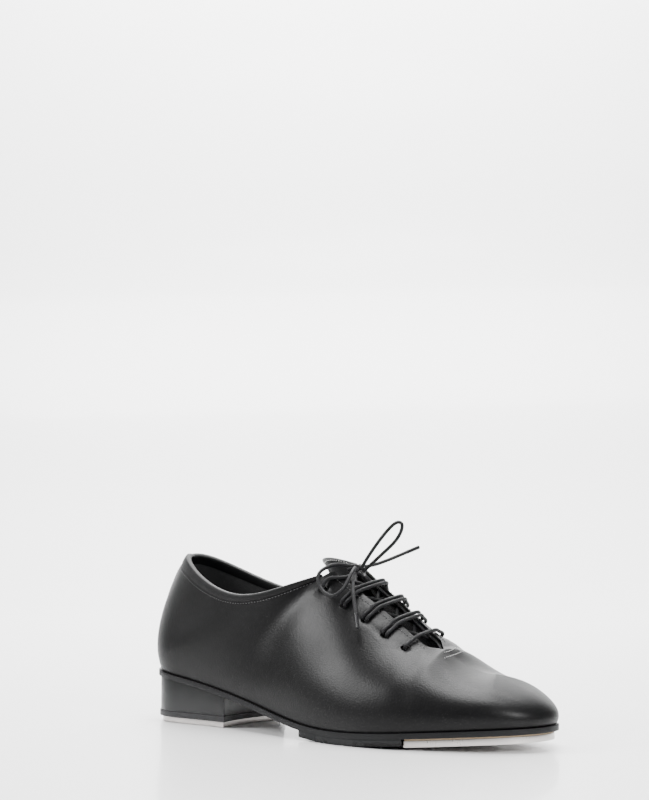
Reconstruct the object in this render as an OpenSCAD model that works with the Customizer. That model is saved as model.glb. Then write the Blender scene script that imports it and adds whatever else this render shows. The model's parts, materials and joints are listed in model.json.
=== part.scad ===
// Right-foot lace-up tap shoe with metal toe and heel taps.
// Millimetres, +X to the toe, +Y to the inner side of the foot, +Z up, floor at z = 0.

/* [Output] */
// Piece to draw

/* [Sole] */
// Sole thickness at the edge
outsole_t = 2.8; // [2:0.1:3.2]
// Thickness of the ribbed rubber forepart
rubber_t = 3.4; // [3:0.1:3.4]
// Distance of the upper's lower edge inside the sole edge
welt_w = 1.4; // [1:0.1:2]

/* [Heel] */
// Thickness of the heel tap
heel_tap_t = 2.9; // [2.4:0.1:3]
// Thickness of the heel lift above the tap
heel_lift_t = 3.1; // [2.6:0.1:3.2]
// How far the heel block is set in from the sole edge
heel_inset = 1.2; // [0.8:0.1:2]
// How far the heel breast curves in
breast_depth = 5; // [3:0.5:6]

/* [Taps] */
// Thickness of the toe tap
toe_tap_t = 3.2; // [2.6:0.1:3.2]
// Thickness of the sounding board over the toe tap
toe_board_t = 1; // [0.8:0.1:1.2]
// Diameter of a tap screw head
screw_head_d = 6; // [5:0.1:6.4]
// Diameter of a tap screw shank
screw_shank_d = 2.6; // [2.2:0.1:3]

/* [Upper] */
// Leather thickness of the upper
leather_t = 1.3; // [1:0.1:1.4]
// Lining thickness
lining_t = 0.7; // [0.5:0.1:0.8]
// Height of the binding along the top edge, as a share of the wall
binding_v = 0.05; // [0.03:0.01:0.06]

/* [Lacing] */
// Diameter of the round lace
lace_d = 1.9; // [1.6:0.1:2]
// Diameter of a punched eyelet hole
eyelet_d = 4.4; // [4.2:0.1:5]
// Width between the facings at the middle eyelet
facing_gap = 17; // [15:1:18]

/* [Hidden] */
// Row frame origin: middle of the bounding box on the floor
origin_x = 125.8;
origin_y = -4;
heel_back_x = 2.5;
clear = 0.15;
fine = 0.01;

black_leather = [0.045, 0.045, 0.048];
lining_grey = [0.11, 0.11, 0.115];
sole_black = [0.06, 0.062, 0.065];
tap_metal = [0.74, 0.72, 0.69];
board_tan = [0.5, 0.42, 0.33];
lace_black = [0.03, 0.03, 0.032];

// ---- curves ----
function bez(p, t) = pow(1 - t, 3) * p[0] + 3 * t * pow(1 - t, 2) * p[1]
    + 3 * t * t * (1 - t) * p[2] + pow(t, 3) * p[3];
function dbez(p, t) = 3 * pow(1 - t, 2) * (p[1] - p[0]) + 6 * t * (1 - t) * (p[2] - p[1])
    + 3 * t * t * (p[3] - p[2]);
function unit(v) = v / norm(v);
function mix(a, b, t) = a + (b - a) * t;
function clamp01(t) = min(1, max(0, t));
function ease(t) = let (c = clamp01(t)) c * c * (3 - 2 * c);
function ramp(a, b, x) = ease((x - a) / (b - a));

// Sole plan: four curves a side, heel back to toe tip, measured from the heel back
tip = [251, 3.5];
outer_side = [
    [[0, 0], [0, -15], [9, -27.5], [26, -27.5]],
    [[26, -27.5], [50, -27.5], [75, -28.5], [98, -34]],
    [[98, -34], [127, -41], [160, -54], [196, -42.3]],
    [[196, -42.3], [226, -32.6], [251, -20], tip]
];
inner_side = [
    [[0, 0], [0, 15], [9, 27.5], [26, 27.5]],
    [[26, 27.5], [60, 27.5], [70, 22], [98, 22]],
    [[98, 22], [138, 22], [150, 39], [196, 39]],
    [[196, 39], [226, 39], [251, 24], tip]
];
side_curves = [outer_side, inner_side];
// u runs 0 to 4 along one side; sd is 0 for the outer side and 1 for the inner
function seg(u) = min(3, floor(u));
function plan_at(sd, u, inset) = let (
        c = side_curves[sd][seg(u)], p = bez(c, u - seg(u)), d = unit(dbez(c, u - seg(u))),
        n = sd == 0 ? [-d[1], d[0]] : [d[1], -d[0]]
    ) [heel_back_x + p[0] + inset * n[0], p[1] + inset * n[1]];
plan_steps = 44;
function plan_ring(inset) = concat(
    [for (i = [0:plan_steps]) plan_at(0, 4 * i / plan_steps, inset)],
    [for (i = [plan_steps - 1:-1:1]) plan_at(1, 4 * i / plan_steps, inset)]);

// Side profile of the sole's top face
seat = [
    [[-6, 29.9], [22, 27], [42, 24], [62, 20]],
    [[62, 20], [95, 14], [120, 6.2], [155, 6.2]],
    [[155, 6.2], [185, 6.2], [215, 10.2], [262, 12]]
];
function seat_pts(n) = [for (s = [0:2]) for (i = [0:n - 1]) bez(seat[s], i / n)];
seat_line = concat(seat_pts(10), [seat[2][3]]);
function sole_top(x) = lookup(x, seat_line);

module row_frame() {
    translate([-origin_x, -origin_y, 0]) children();
}

// Slab that follows the sole: between two heights under (or over) the sole's top face
module side_slab(lo, hi, x0, x1) {
    pts = [for (p = seat_line) if (p[0] > x0 && p[0] < x1) p];
    line = concat([[x0, sole_top(x0)]], pts, [[x1, sole_top(x1)]]);
    n = len(line);
    half_w = 70;
    translate([0, half_w, 0]) rotate([90, 0, 0]) linear_extrude(2 * half_w)
        polygon(concat([for (p = line) [p[0], p[1] + lo]],
            [for (i = [n - 1:-1:0]) [line[i][0], line[i][1] + hi]]));
}
module plan_prism(inset) {
    linear_extrude(60) polygon(plan_ring(inset));
}

// ---- upper surface ----
// Ridge of the instep: height at x
ridge_line = [[110, 103], [130, 89], [145, 79], [160, 69.5], [175, 58.5], [188, 49.5], [200, 44.2],
    [214, 38.6], [228, 33]];
function ridge_z(x) = lookup(x, ridge_line);
crown_y = 5;
crown_r = 40;
function crown_drop(y) = pow(y - crown_y, 2) / (2 * crown_r);
throat_y = -2;
eyelet_mid_x = 160;
function facing_half(x) = facing_gap / 2 - 0.08 * (x - eyelet_mid_x);
corner_x = 130;
throat_x = 194;
toe_pole = [222, 2.5, 35.4];
corner_u = 2.15;
throat_u = 3;
pole_u = 3.5;

top_back = [[16, 0, 92], [18, 17, 95], [50, 28, 72], [77, 28.5, 71.5]];
top_front = [[77, 28.5, 71.5], [95, 28.8, 71.2], [110, 25, 79], [corner_x, 12.3, 85]];
function side_sign(sd) = sd == 0 ? -1 : 1;
function facing_pt(sd, x) = let (
        half = facing_half(x) * (1 - ramp(186, throat_x, x)),
        y = throat_y + side_sign(sd) * half
    ) [x, y, ridge_z(x) - crown_drop(y)];
function top_raw(sd, u) = let (s = side_sign(sd))
    u < 1.2 ? let (p = bez(top_back, u / 1.2)) [p[0], p[1] * s, p[2]]
    : u < corner_u ? let (
        t = (u - 1.2) / (corner_u - 1.2), p = bez(top_front, t), e = facing_pt(sd, corner_x)
    ) [p[0], s * p[1] + (e[1] - s * 12.3) * t * t, p[2] + (e[2] - 85) * t * t]
    : u < throat_u ? facing_pt(sd, mix(corner_x, throat_x, (u - corner_u) / (throat_u - corner_u)))
    : u < pole_u ? let (
        t = ramp(throat_u, pole_u, u), x = mix(throat_x, toe_pole[0], t), y = mix(throat_y, toe_pole[1], t)
    ) [x, y, mix(ridge_z(x), toe_pole[2], t)]
    : toe_pole;

function wall_foot(sd, u) = let (p = plan_at(sd, u, welt_w)) [p[0], p[1], sole_top(p[0]) + clear];
function away(a, b) = let (d = [b[0] - a[0], b[1] - a[1]]) d / max(fine, norm(d));
function wall_pt(sd, u, v) = let (
        b = wall_foot(sd, u), t = top_raw(sd, u), o = away([t[0], t[1]], [b[0], b[1]]),
        back = 1 - ramp(0.2, 1.4, u), vamp = ramp(1.6, 2.5, u), toe = ramp(2.8, 3.9, u),
        pn = plan_at(sd, u, 0) - plan_at(sd, u, 1),
        lift = mix(mix(20, 22, vamp), 10, toe),
        out = mix(mix(mix(4, 8, back), 5.5, vamp), 6.5, toe),
        h = mix(mix(mix(0.25, 0.64, back), 0.95, vamp), 1, toe),
        ridge = ramp(2.7, 3.05, u),
        d_side = mix(mix(0.95, 0.85, back), 0.45 - 0.3 * sd, vamp),
        d = mix(d_side, -0.08 * side_sign(sd) * (1 - toe), ridge),
        reach = mix(mix(mix(22, 32, back), 24, vamp), 16, toe),
        fall = u > 2.6 ? 0.4 * o[0] * ramp(2.6, 3.2, u) : 0,
        oo = u < 0.6 ? mix([-1, 0], o, u / 0.6) : o,
        p1 = b + [pn[0] * out, pn[1] * out, lift],
        p2 = t + reach * [oo[0] * h, oo[1] * h, -d - fall]
    ) bez([b, p1, p2, t], v);
step_uv = 0.02;
function wall_normal(sd, u, v) = let (
        u0 = max(0, u - step_uv), u1 = min(4, u + step_uv),
        v0 = max(0, min(0.94, v) - step_uv), v1 = min(0.96, min(0.94, v) + step_uv),
        w = min(v, 0.94),
        n = unit(cross(wall_pt(sd, u1, w) - wall_pt(sd, u0, w), wall_pt(sd, u, v1) - wall_pt(sd, u, v0)))
    ) sd == 0 ? n : -n;
function pole_normal() = unit([0.4, 0, 1]);
function skin_normal(sd, u, v) = let (
        n = u < fine ? unit([wall_normal(0, u, v)[0], 0, wall_normal(0, u, v)[2]])
            : u > 4 - fine ? unit([wall_normal(0, u, v)[0], 0, wall_normal(0, u, v)[2]])
            : wall_normal(sd, u, v),
        w = u > throat_u - 0.1 ? ramp(0.75, 1, v) * ramp(throat_u - 0.1, throat_u, u) : 0
    ) unit(mix(n, pole_normal(), w));
function skin(sd, u, v, off) = wall_pt(sd, u, v) + off * skin_normal(sd, u, v);
function v_max(u) = 1 - binding_v * (1 - ramp(corner_u - 0.12, corner_u, u));

// ---- solids from the surface ----
function tri_ok(t) = t[0] != t[1] && t[1] != t[2] && t[0] != t[2];
function quad(a, b, c, d) = [for (t = [[a, b, c], [a, c, d]]) if (tri_ok(t)) t];
function flat(l) = [for (a = l) for (b = a) b];

// Closed shell over the whole wall, between two offsets
module wall_shell(n, m, off_out, off_in, lift) {
    cols = concat([for (i = [0:n]) [0, 4 * i / n]], [for (i = [n - 1:-1:1]) [1, 4 * i / n]]);
    count = len(cols);
    half = count * (m + 1);
    pts = [for (off = [off_out, off_in]) for (c = cols) for (j = [0:m])
        skin(c[0], c[1], mix(lift, v_max(c[1]), j / m), off)];
    pole = ceil(n * pole_u / 4);
    function home(i) = let (k = (i + count) % count, mirror = k > n ? count - k : k)
        cols[k][1] >= pole_u ? pole : cols[k][1] >= throat_u - fine ? mirror : k;
    function at(layer, i, j) = layer * half + (j == m ? home(i) : (i + count) % count) * (m + 1) + j;
    faces = concat(
        flat([for (i = [0:count - 1]) for (j = [0:m - 1])
            quad(at(0, i, j), at(0, i, j + 1), at(0, i + 1, j + 1), at(0, i + 1, j))]),
        flat([for (i = [0:count - 1]) for (j = [0:m - 1])
            quad(at(1, i, j), at(1, i + 1, j), at(1, i + 1, j + 1), at(1, i, j + 1))]),
        flat([for (i = [0:count - 1]) quad(at(0, i, 0), at(0, i + 1, 0), at(1, i + 1, 0), at(1, i, 0))]),
        flat([for (i = [0:count - 1])
            if (max(cols[i][1], cols[(i + 1) % count][1]) < throat_u + fine)
                quad(at(0, i, m), at(1, i, m), at(1, i + 1, m), at(0, i + 1, m))]));
    polyhedron(points = pts, faces = faces, convexity = 8);
}

// Closed solid over part of the wall; cols is a list of [side, u, low v, high v]
module wall_patch(cols, m, off_out, off_in) {
    n = len(cols) - 1;
    half = (n + 1) * (m + 1);
    pts = [for (off = [off_out, off_in]) for (c = cols) for (j = [0:m])
        skin(c[0], c[1], mix(c[2], c[3], j / m), off)];
    function at(layer, i, j) = layer * half + i * (m + 1) + j;
    faces = concat(
        flat([for (i = [0:n - 1]) for (j = [0:m - 1])
            quad(at(0, i, j), at(0, i, j + 1), at(0, i + 1, j + 1), at(0, i + 1, j))]),
        flat([for (i = [0:n - 1]) for (j = [0:m - 1])
            quad(at(1, i, j), at(1, i + 1, j), at(1, i + 1, j + 1), at(1, i, j + 1))]),
        flat([for (i = [0:n - 1]) quad(at(0, i, 0), at(0, i + 1, 0), at(1, i + 1, 0), at(1, i, 0))]),
        flat([for (i = [0:n - 1]) quad(at(0, i, m), at(1, i, m), at(1, i + 1, m), at(0, i + 1, m))]),
        flat([for (j = [0:m - 1]) quad(at(0, 0, j), at(1, 0, j), at(1, 0, j + 1), at(0, 0, j + 1))]),
        flat([for (j = [0:m - 1]) quad(at(0, n, j), at(0, n, j + 1), at(1, n, j + 1), at(1, n, j))]));
    polyhedron(points = pts, faces = faces, convexity = 6);
}
// Columns through the heel back, or through the toe tip, from the inner side to the outer
function heel_cols(n, u1, lo, hi, taper) = [for (i = [-n:n]) let (u = u1 * abs(i) / n)
    [i < 0 ? 1 : 0, u, lo, mix(hi, lo, taper * pow(abs(i) / n, 3))]];
function toe_cols(n, u1, lo, hi, taper) = [for (i = [-n:n]) let (u = 4 - (4 - u1) * abs(i) / n)
    [i < 0 ? 0 : 1, u, lo, mix(hi, lo, taper * pow(abs(i) / n, 3))]];

// Round cord along a route, with a frame carried from ring to ring
function tangent(p, i) = unit(p[min(i + 1, len(p) - 1)] - p[max(i - 1, 0)]);
function carry(n, t) = unit(n - (n * t) * t);
function normals(p, i, acc) = i == len(p) ? acc
    : normals(p, i + 1, concat(acc, [carry(acc[i - 1], tangent(p, i))]));
function first_normal(t) = carry(abs(t[2]) < 0.8 ? [0, 0, 1] : [1, 0, 0], t);
module cord(p, d, sides) {
    n = len(p);
    nn = normals(p, 1, [first_normal(tangent(p, 0))]);
    pts = [for (i = [0:n - 1]) let (t = tangent(p, i), b = cross(t, nn[i])) for (k = [0:sides - 1])
        p[i] + d / 2 * (cos(360 * k / sides) * nn[i] + sin(360 * k / sides) * b)];
    faces = concat([[for (k = [0:sides - 1]) k]],
        [[for (k = [sides - 1:-1:0]) (n - 1) * sides + k]],
        flat([for (i = [0:n - 2]) for (k = [0:sides - 1])
            quad(i * sides + k, (i + 1) * sides + k, (i + 1) * sides + (k + 1) % sides,
                i * sides + (k + 1) % sides)]));
    polyhedron(points = pts, faces = faces, convexity = 10);
}
// Smooth run through route points, a few rings to each span
function spline(p, i, t) = let (a = p[max(i - 1, 0)], b = p[i], c = p[i + 1], d = p[min(i + 2, len(p) - 1)])
    0.5 * (2 * b + (c - a) * t + (2 * a - 5 * b + 4 * c - d) * t * t + (3 * b - a - 3 * c + d) * t * t * t);
function smooth(p, n) = concat([for (i = [0:len(p) - 2]) for (k = [0:n - 1]) spline(p, i, k / n)],
    [p[len(p) - 1]]);

// ---- lacing ----
eyelet_u = [2.17, 2.36, 2.53, 2.68, 2.83];
eyelet_v = 0.85;
edge_v = 0.96;
strand_gap_u = 0.0145;
bar_off = lace_d / 2 + 0.35;
under_off = -(leather_t + 0.8 + lining_t + lace_d / 2 + 0.2);
function over_pts(sd, k, w) = let (u = eyelet_u[k] + w * strand_gap_u) [
    skin(sd, u, eyelet_v + 0.012, bar_off),
    skin(sd, u, 0.93, bar_off + 0.1),
    skin(sd, u, 1, bar_off + 0.5)
];
function hole_pts(sd, k, w) = let (u = eyelet_u[k] + w * strand_gap_u) [
    skin(sd, u, eyelet_v, -0.4),
    skin(sd, u, eyelet_v + 0.004, under_off * 0.7)
];
function under_pts(sd, k, w) = let (u = eyelet_u[k] + w * strand_gap_u) [
    skin(sd, u, eyelet_v + 0.03, under_off),
    skin(sd, u, edge_v, under_off - 0.1)
];
function reversed(l) = [for (i = [len(l) - 1:-1:0]) l[i]];
// One level: up through the inner side's eyelet, over the top, down through the outer side's
function bar(k, w) = concat(hole_up(1, k, w), over_pts(1, k, w), reversed(over_pts(0, k, w)),
    hole_pts(0, k, w));
function hole_up(sd, k, w) = reversed(hole_pts(sd, k, w));
// Across beneath the facings, from outer eyelet a to inner eyelet b
function diagonal(a, b, w, sink) = let (p = under_pts(0, a, w), q = under_pts(1, b, w),
    mid = (p[1] + q[1]) / 2 - [0, 0, sink]) concat(p, [mid], reversed(q));
knot_at = [138.5, -5, 85.2];
start_outer = [knot_at + [0, -2.6, -1.4], knot_at + [-1, -7, -3.2]];
start_inner = [knot_at + [0, 2.6, -1.4], knot_at + [0.5, 7, -3.6]];
function from_knot(sd, w) = concat(sd == 0 ? start_outer : start_inner,
    let (u = eyelet_u[0]) [skin(sd, u, 0.93, bar_off + 0.2), skin(sd, u, eyelet_v + 0.012, bar_off)],
    hole_pts(sd, 0, 0));
cross_gap = lace_d / 2 + 0.15;
lace_down = concat(from_knot(0, 0), diagonal(0, 1, -1, -cross_gap), bar(1, -1),
    diagonal(1, 2, -1, -cross_gap), bar(2, -1), diagonal(2, 3, -1, -cross_gap), bar(3, -1), diagonal(3,
    4, 0, -cross_gap), bar(4, 0));

// The other half starts where the lowest bar goes down, and climbs to the knot
lowest = hole_pts(0, 4, 0);
lowest_step = lowest[1] + 0.1 * unit(lowest[1] - lowest[0]);
lace_rise = concat([lowest_step], diagonal(4, 3, 1, cross_gap), bar(3, 1),
    diagonal(3, 2, 1, cross_gap), bar(2, 1), diagonal(2, 1, 1, cross_gap), bar(1, 1),
    diagonal(1, 0, 0, cross_gap), reversed(from_knot(1, 0)));

// Tongue: base at the throat, tip above the facings
tongue_t = 2;
tongue_drop = 13.4;
tongue_lift = 6;
tongue_base_x = 201;
tongue_tip_x = 116;
tongue_half_base = 9;
tongue_half_tip = 14;
tongue_r = 30;
tongue_y = -1;
function tongue_pt(s, w, off) = let (
        x0 = mix(tongue_base_x, tongue_tip_x, s), x = x0 + 9 * pow(abs(w), 2.4) * ramp(0.6, 1, s),
        h = mix(tongue_half_base, tongue_half_tip, s), y = h * w,
        drop = tongue_r - sqrt(tongue_r * tongue_r - y * y),
        z = 104.2 - 0.675 * (x0 - 110) + 3.9 * ramp(192, 206, x0) - tongue_drop
            + tongue_lift * ramp(0.88, 1, s)
    ) [x - 0.5 * off, tongue_y + y * (1 + 0.02 * off), z - drop + 0.86 * off];
module tongue_grid(ns, nw, off_out, off_in, s0, s1) {
    pts = [for (off = [off_in, off_out]) for (i = [0:ns]) for (j = [0:nw])
        tongue_pt(mix(s0, s1, i / ns), -1 + 2 * j / nw, off)];
    half = (ns + 1) * (nw + 1);
    function at(l, i, j) = l * half + i * (nw + 1) + j;
    faces = concat(
        flat([for (i = [0:ns - 1]) for (j = [0:nw - 1])
            quad(at(0, i, j), at(0, i, j + 1), at(0, i + 1, j + 1), at(0, i + 1, j))]),
        flat([for (i = [0:ns - 1]) for (j = [0:nw - 1])
            quad(at(1, i, j), at(1, i + 1, j), at(1, i + 1, j + 1), at(1, i, j + 1))]),
        flat([for (i = [0:ns - 1]) quad(at(0, i, 0), at(0, i + 1, 0), at(1, i + 1, 0), at(1, i, 0))]),
        flat([for (i = [0:ns - 1]) quad(at(0, i, nw), at(1, i, nw), at(1, i + 1, nw), at(0, i + 1, nw))]),
        flat([for (j = [0:nw - 1]) quad(at(0, 0, j), at(1, 0, j), at(1, 0, j + 1), at(0, 0, j + 1))]),
        flat([for (j = [0:nw - 1]) quad(at(0, ns, j), at(0, ns, j + 1), at(1, ns, j + 1), at(1, ns, j))]));
    polyhedron(points = pts, faces = faces, convexity = 4);
}

// ---- nodes ----
module eyelet_holes() {
    for (sd = [0, 1]) for (k = [0:4]) {
        a = skin(sd, eyelet_u[k], eyelet_v, 4);
        b = skin(sd, eyelet_u[k], eyelet_v, -6);
        d = b - a;
        translate(a) rotate([0, acos(d[2] / norm(d)), atan2(d[1], d[0])])
            cylinder(d = eyelet_d, h = norm(d));
    }
}
module upper() {
    color(black_leather) row_frame() difference() {
        wall_shell(40, 12, 0, -leather_t, 0);
        eyelet_holes();
    }
}
// Offsets of the layers behind the leather
stay_out = leather_t + 0.1;
stay_in = leather_t + 0.65;
lining_out = leather_t + 0.8;
lining_in = lining_out + lining_t;
module lining() {
    color(lining_grey) row_frame() difference() {
        wall_shell(32, 9, -lining_out, -lining_in, 0);
        eyelet_holes();
    }
}
module topline_binding() {
    color(black_leather) row_frame()
        wall_patch([for (i = [-36:36]) let (u = (corner_u - 0.14) * abs(i) / 36)
            [i < 0 ? 1 : 0, u, v_max(u) + 0.003, 1]], 2, 0.45, -lining_in - 0.4);
}
module back_strip() {
    color(black_leather) row_frame()
        wall_patch(heel_cols(3, 0.16, 0.03, v_max(0) - 0.01, 0.1), 14, 0.75, 0.08);
}
module heel_counter() {
    color([0.32, 0.25, 0.19]) row_frame()
        wall_patch(heel_cols(16, 1.5, 0.03, 0.62, 0.6), 7, -stay_out, -stay_in);
}
module toe_puff() {
    color([0.32, 0.25, 0.19]) row_frame()
        wall_patch(toe_cols(14, 3.36, 0.04, 0.72, 0.3), 6, -stay_out, -stay_in);
}
module facing_stay(sd) {
    n = 14;
    cols = [for (i = [0:n]) let (k = sd == 0 ? n - i : i) [sd, mix(2.08, 2.95, k / n), 0.73, 0.94]];
    color([0.13, 0.13, 0.14]) row_frame() difference() {
        wall_patch([for (i = [0:n]) cols[n - i]], 4, -stay_out, -stay_in);
        eyelet_holes();
    }
}
module stay_outer() {
    facing_stay(0);
}
module stay_inner() {
    facing_stay(1);
}
module tongue() {
    color(black_leather) row_frame() tongue_grid(20, 12, 0, -tongue_t, 0, 1);
}
// Edge stitching round the tongue tip
module tongue_stitching() {
    stitch_in = 0.68;
    along = [for (i = [0:10]) tongue_pt(mix(0.94, 0.975, i / 10), -stitch_in, 0.28)];
    across = [for (i = [1:11]) tongue_pt(0.98, mix(-stitch_in, stitch_in, i / 12), 0.28)];
    back = [for (i = [10:-1:0]) tongue_pt(mix(0.94, 0.975, i / 10), stitch_in, 0.28)];
    color([0.75, 0.75, 0.74]) row_frame() cord(concat(along, across, back), 0.5, 6);
}
// Stitched crescent that locks the bottom of the throat
module throat_bartack() {
    x0 = 197.5;
    line = [for (i = [-8:8]) let (y = throat_y + 0.95 * i, x = x0 - 0.03 * i * i)
        [x, y, ridge_z(x) - crown_drop(y) + 0.9]];
    color([0.7, 0.7, 0.69]) row_frame() cord(line, 0.7, 6);
}

// Sole
module outsole() {
    color(sole_black) row_frame() difference() {
        intersection() {
            side_slab(-outsole_t, 0, heel_back_x - 2, 256);
            plan_prism(0);
        }
        toe_screw_places() translate([0, 0, -1]) cylinder(d = screw_shank_d + 0.1, h = 60);
        heel_nail_places() cylinder(d = nail_d, h = 60);
        heel_screw_places() cylinder(d = screw_shank_d + 0.1, h = 16);
    }
}
tap_rear_x = 189.5;
tap_rear_sag = 6;
tap_rear_r = (37 * 37 + tap_rear_sag * tap_rear_sag) / (2 * tap_rear_sag);
tap_mid_y = -1.5;
// Everything ahead of the toe tap's rear arc, moved back by grow
module ahead_of_tap(grow) {
    difference() {
        translate([tap_rear_x - grow, -80, -1]) cube([80, 160, 60]);
        // the arc bulges to the rear: cut the corners outside it
        difference() {
            translate([tap_rear_x - 10 - grow, -80, -2]) cube([32, 160, 62]);
            translate([tap_rear_x - grow + tap_rear_r, tap_mid_y, -3]) cylinder(r = tap_rear_r, h = 64);
        }
    }
}
rubber_x0 = 129.5;
tap_inset = 2.2;
module rubber_forepart() {
    color(sole_black) row_frame() difference() {
        intersection() {
            side_slab(-outsole_t - clear / 3 - rubber_t, -outsole_t - clear / 3, rubber_x0, 230);
            plan_prism(0.4);
        }
        ahead_of_tap(1);
        // cross cuts of the tread
        for (i = [0:17]) translate([rubber_x0 + 3 + 3.2 * i, -60, -1]) cube([0.8, 120, 1.5]);
    }
}
board_lo = -outsole_t - toe_board_t;
module toe_tap_board() {
    color(board_tan) row_frame() difference() {
        intersection() {
            side_slab(board_lo, -outsole_t - clear / 3, 150, 256);
            plan_prism(tap_inset + 0.3);
            ahead_of_tap(-0.4);
        }
        toe_screw_places() translate([0, 0, -1]) cylinder(d = screw_shank_d + 0.1, h = 60);
    }
}
toe_tap_hi = board_lo - clear / 3;
toe_tap_lo = toe_tap_hi - toe_tap_t;
toe_screws = [[206.8, -28.6], [201.1, 27.1], [245.4, 5.1]];
module toe_screw_places() {
    for (p = toe_screws) translate([p[0], p[1], 0]) children();
}
module toe_tap() {
    color(tap_metal) row_frame() difference() {
        intersection() {
            side_slab(toe_tap_lo, toe_tap_hi, 150, 256);
            plan_prism(tap_inset);
            ahead_of_tap(0);
        }
        for (p = toe_screws) translate([p[0], p[1], -1]) {
            cylinder(d = screw_shank_d + 0.1, h = 60);
            cylinder(d = screw_head_d + 0.2, h = head_top(p) + 1.05);
        }
    }
}
head_t = 1.5;
function head_top(p) = sole_top(p[0]) + toe_tap_lo + 1.4;
module tap_screw(x, y, z_head, reach) {
    color([0.8, 0.79, 0.77]) row_frame() translate([x, y, z_head]) difference() {
        union() {
            translate([0, 0, -head_t]) cylinder(d1 = screw_head_d - 1.2, d2 = screw_head_d, h = 0.5);
            translate([0, 0, 0.5 - head_t]) cylinder(d = screw_head_d, h = head_t - 0.5);
            translate([0, 0, -0.2]) cylinder(d = screw_shank_d, h = reach);
        }
        for (a = [45, 135]) rotate(a) translate([-1.6, -0.3, -head_t - 1]) cube([3.2, 0.6, 1.7]);
    }
}
toe_reach = 5.4;
module toe_screw(i) {
    p = toe_screws[i];
    tap_screw(p[0], p[1], head_top(p), toe_reach);
}
module toe_screw_outer() {
    toe_screw(0);
}
module toe_screw_inner() {
    toe_screw(1);
}
module toe_screw_front() {
    toe_screw(2);
}

// Heel
breast_outer_x = 65;
breast_inner_x = 68;
module behind_breast(grow) {
    r = (30 * 30 + breast_depth * breast_depth) / (2 * breast_depth);
    mid = (breast_outer_x + breast_inner_x) / 2;
    difference() {
        translate([-20, -60, -1]) cube([mid + 20 + grow, 120, 60]);
        translate([mid + grow - breast_depth + r, 0, -2]) cylinder(r = r, h = 70);
    }
}
module heel_slab(lo, hi, inset) {
    intersection() {
        translate([-20, -60, lo]) cube([110, 120, hi - lo]);
        plan_prism(inset);
        behind_breast(-inset + heel_inset);
    }
}
block_lo = heel_tap_t + heel_lift_t + 0.1;
nail_d = 2;
module heel_nail_places() {
    for (p = [[20, 0], [27, -17], [27, 17], [42, -16], [42, 14]])
        translate([p[0] + heel_back_x, p[1], 18]) children();
}
module heel_block() {
    color([0.08, 0.082, 0.085]) row_frame() difference() {
        intersection() {
            heel_slab(block_lo, 40, heel_inset);
            side_slab(-40, -outsole_t - clear / 3, -8, 80);
        }
        heel_screw_places() cylinder(d = screw_shank_d + 0.1, h = 16);
        heel_nail_places() translate([0, 0, -6]) cylinder(d = nail_d, h = 30);
    }
}
module heel_nails() {
    color([0.6, 0.6, 0.6]) row_frame() heel_nail_places() {
        translate([0, 0, -5]) cylinder(d = nail_d, h = 8);
    }
}
module heel_lift() {
    color([0.2, 0.2, 0.205]) row_frame() difference() {
        heel_slab(heel_tap_t + 0.05, heel_tap_t + heel_lift_t, heel_inset - 0.5);
        heel_screw_places() cylinder(d = screw_shank_d + 0.1, h = 16);
    }
}
heel_screws = [[13.5, 1], [52.5, -18.5], [56, 17.5]];
module heel_screw_places() {
    for (p = heel_screws) translate([p[0], p[1], 0]) children();
}
heel_head_top = 1.75;
module heel_tap() {
    color(tap_metal) row_frame() difference() {
        heel_slab(0, heel_tap_t, heel_inset + 1.2);
        heel_screw_places() translate([0, 0, -1]) {
            cylinder(d = screw_shank_d + 0.1, h = 16);
            cylinder(d = screw_head_d + 0.2, h = heel_head_top + 1.05);
        }
    }
}
heel_reach = 13;
module heel_screw(i) {
    p = heel_screws[i];
    tap_screw(p[0], p[1], heel_head_top, heel_reach);
}
module heel_screw_back() {
    heel_screw(0);
}
module heel_screw_outer() {
    heel_screw(1);
}
module heel_screw_inner() {
    heel_screw(2);
}

// Inside the shoe
board_t = 2.2;
sock_t = 1.2;
inside_inset = welt_w + lining_in + 1.6;
shank_t = 1.2;
shank_w = 12;
module insole_board() {
    color([0.62, 0.52, 0.4]) row_frame() difference() {
        intersection() {
            side_slab(clear, clear + board_t, heel_back_x, 252);
            plan_prism(inside_inset);
        }
        intersection() {
            side_slab(-1, clear + shank_t + 0.2, 27.8, 122.2);
            translate([0, -shank_w / 2 - 0.2, 0]) cube([150, shank_w + 0.4, 60]);
        }
        heel_nail_places() cylinder(d = nail_d + 0.4, h = 30);
    }
}
module steel_shank() {
    color([0.55, 0.55, 0.56]) row_frame() intersection() {
        side_slab(clear, clear + shank_t, 28, 122);
        translate([0, -shank_w / 2, 0]) cube([150, shank_w, 60]);
    }
}
module sock_liner() {
    color([0.16, 0.16, 0.17]) row_frame() intersection() {
        side_slab(2 * clear + board_t, 2 * clear + board_t + sock_t, heel_back_x, 250);
        plan_prism(inside_inset + 0.6);
    }
}

// Laces
module lace_lower() {
    color(lace_black) row_frame() cord(lace_down, lace_d, 8);
}
module lace_upper() {
    color(lace_black) row_frame() cord(lace_rise, lace_d, 8);
}
module knot() {
    color(lace_black) row_frame() translate(knot_at) rotate([90, 0, 20])
        rotate_extrude() translate([1.35, 0]) circle(d = 2.6);
}
loop_up = [knot_at + [2.8, 0.8, 1.2], knot_at + [8, 3, 10], knot_at + [15, 6, 20], knot_at + [20, 9, 25.5],
    knot_at + [22.5, 11, 24], knot_at + [19.5, 10, 16.5], knot_at + [11, 6, 7.5], knot_at + [3.2, 2.2,
    -0.4]];
loop_side = [knot_at + [-2, -1.6, 2.6], knot_at + [-8, -8, 3.4], knot_at + [-11, -17.5, -1],
    knot_at + [-7.5, -20, -8.5], knot_at + [1, -21.5, -12.5], knot_at + [5.5, -17, -8.5], knot_at + [5,
    -10, -1], knot_at + [2.4, -3.6, 1.8]];
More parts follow.
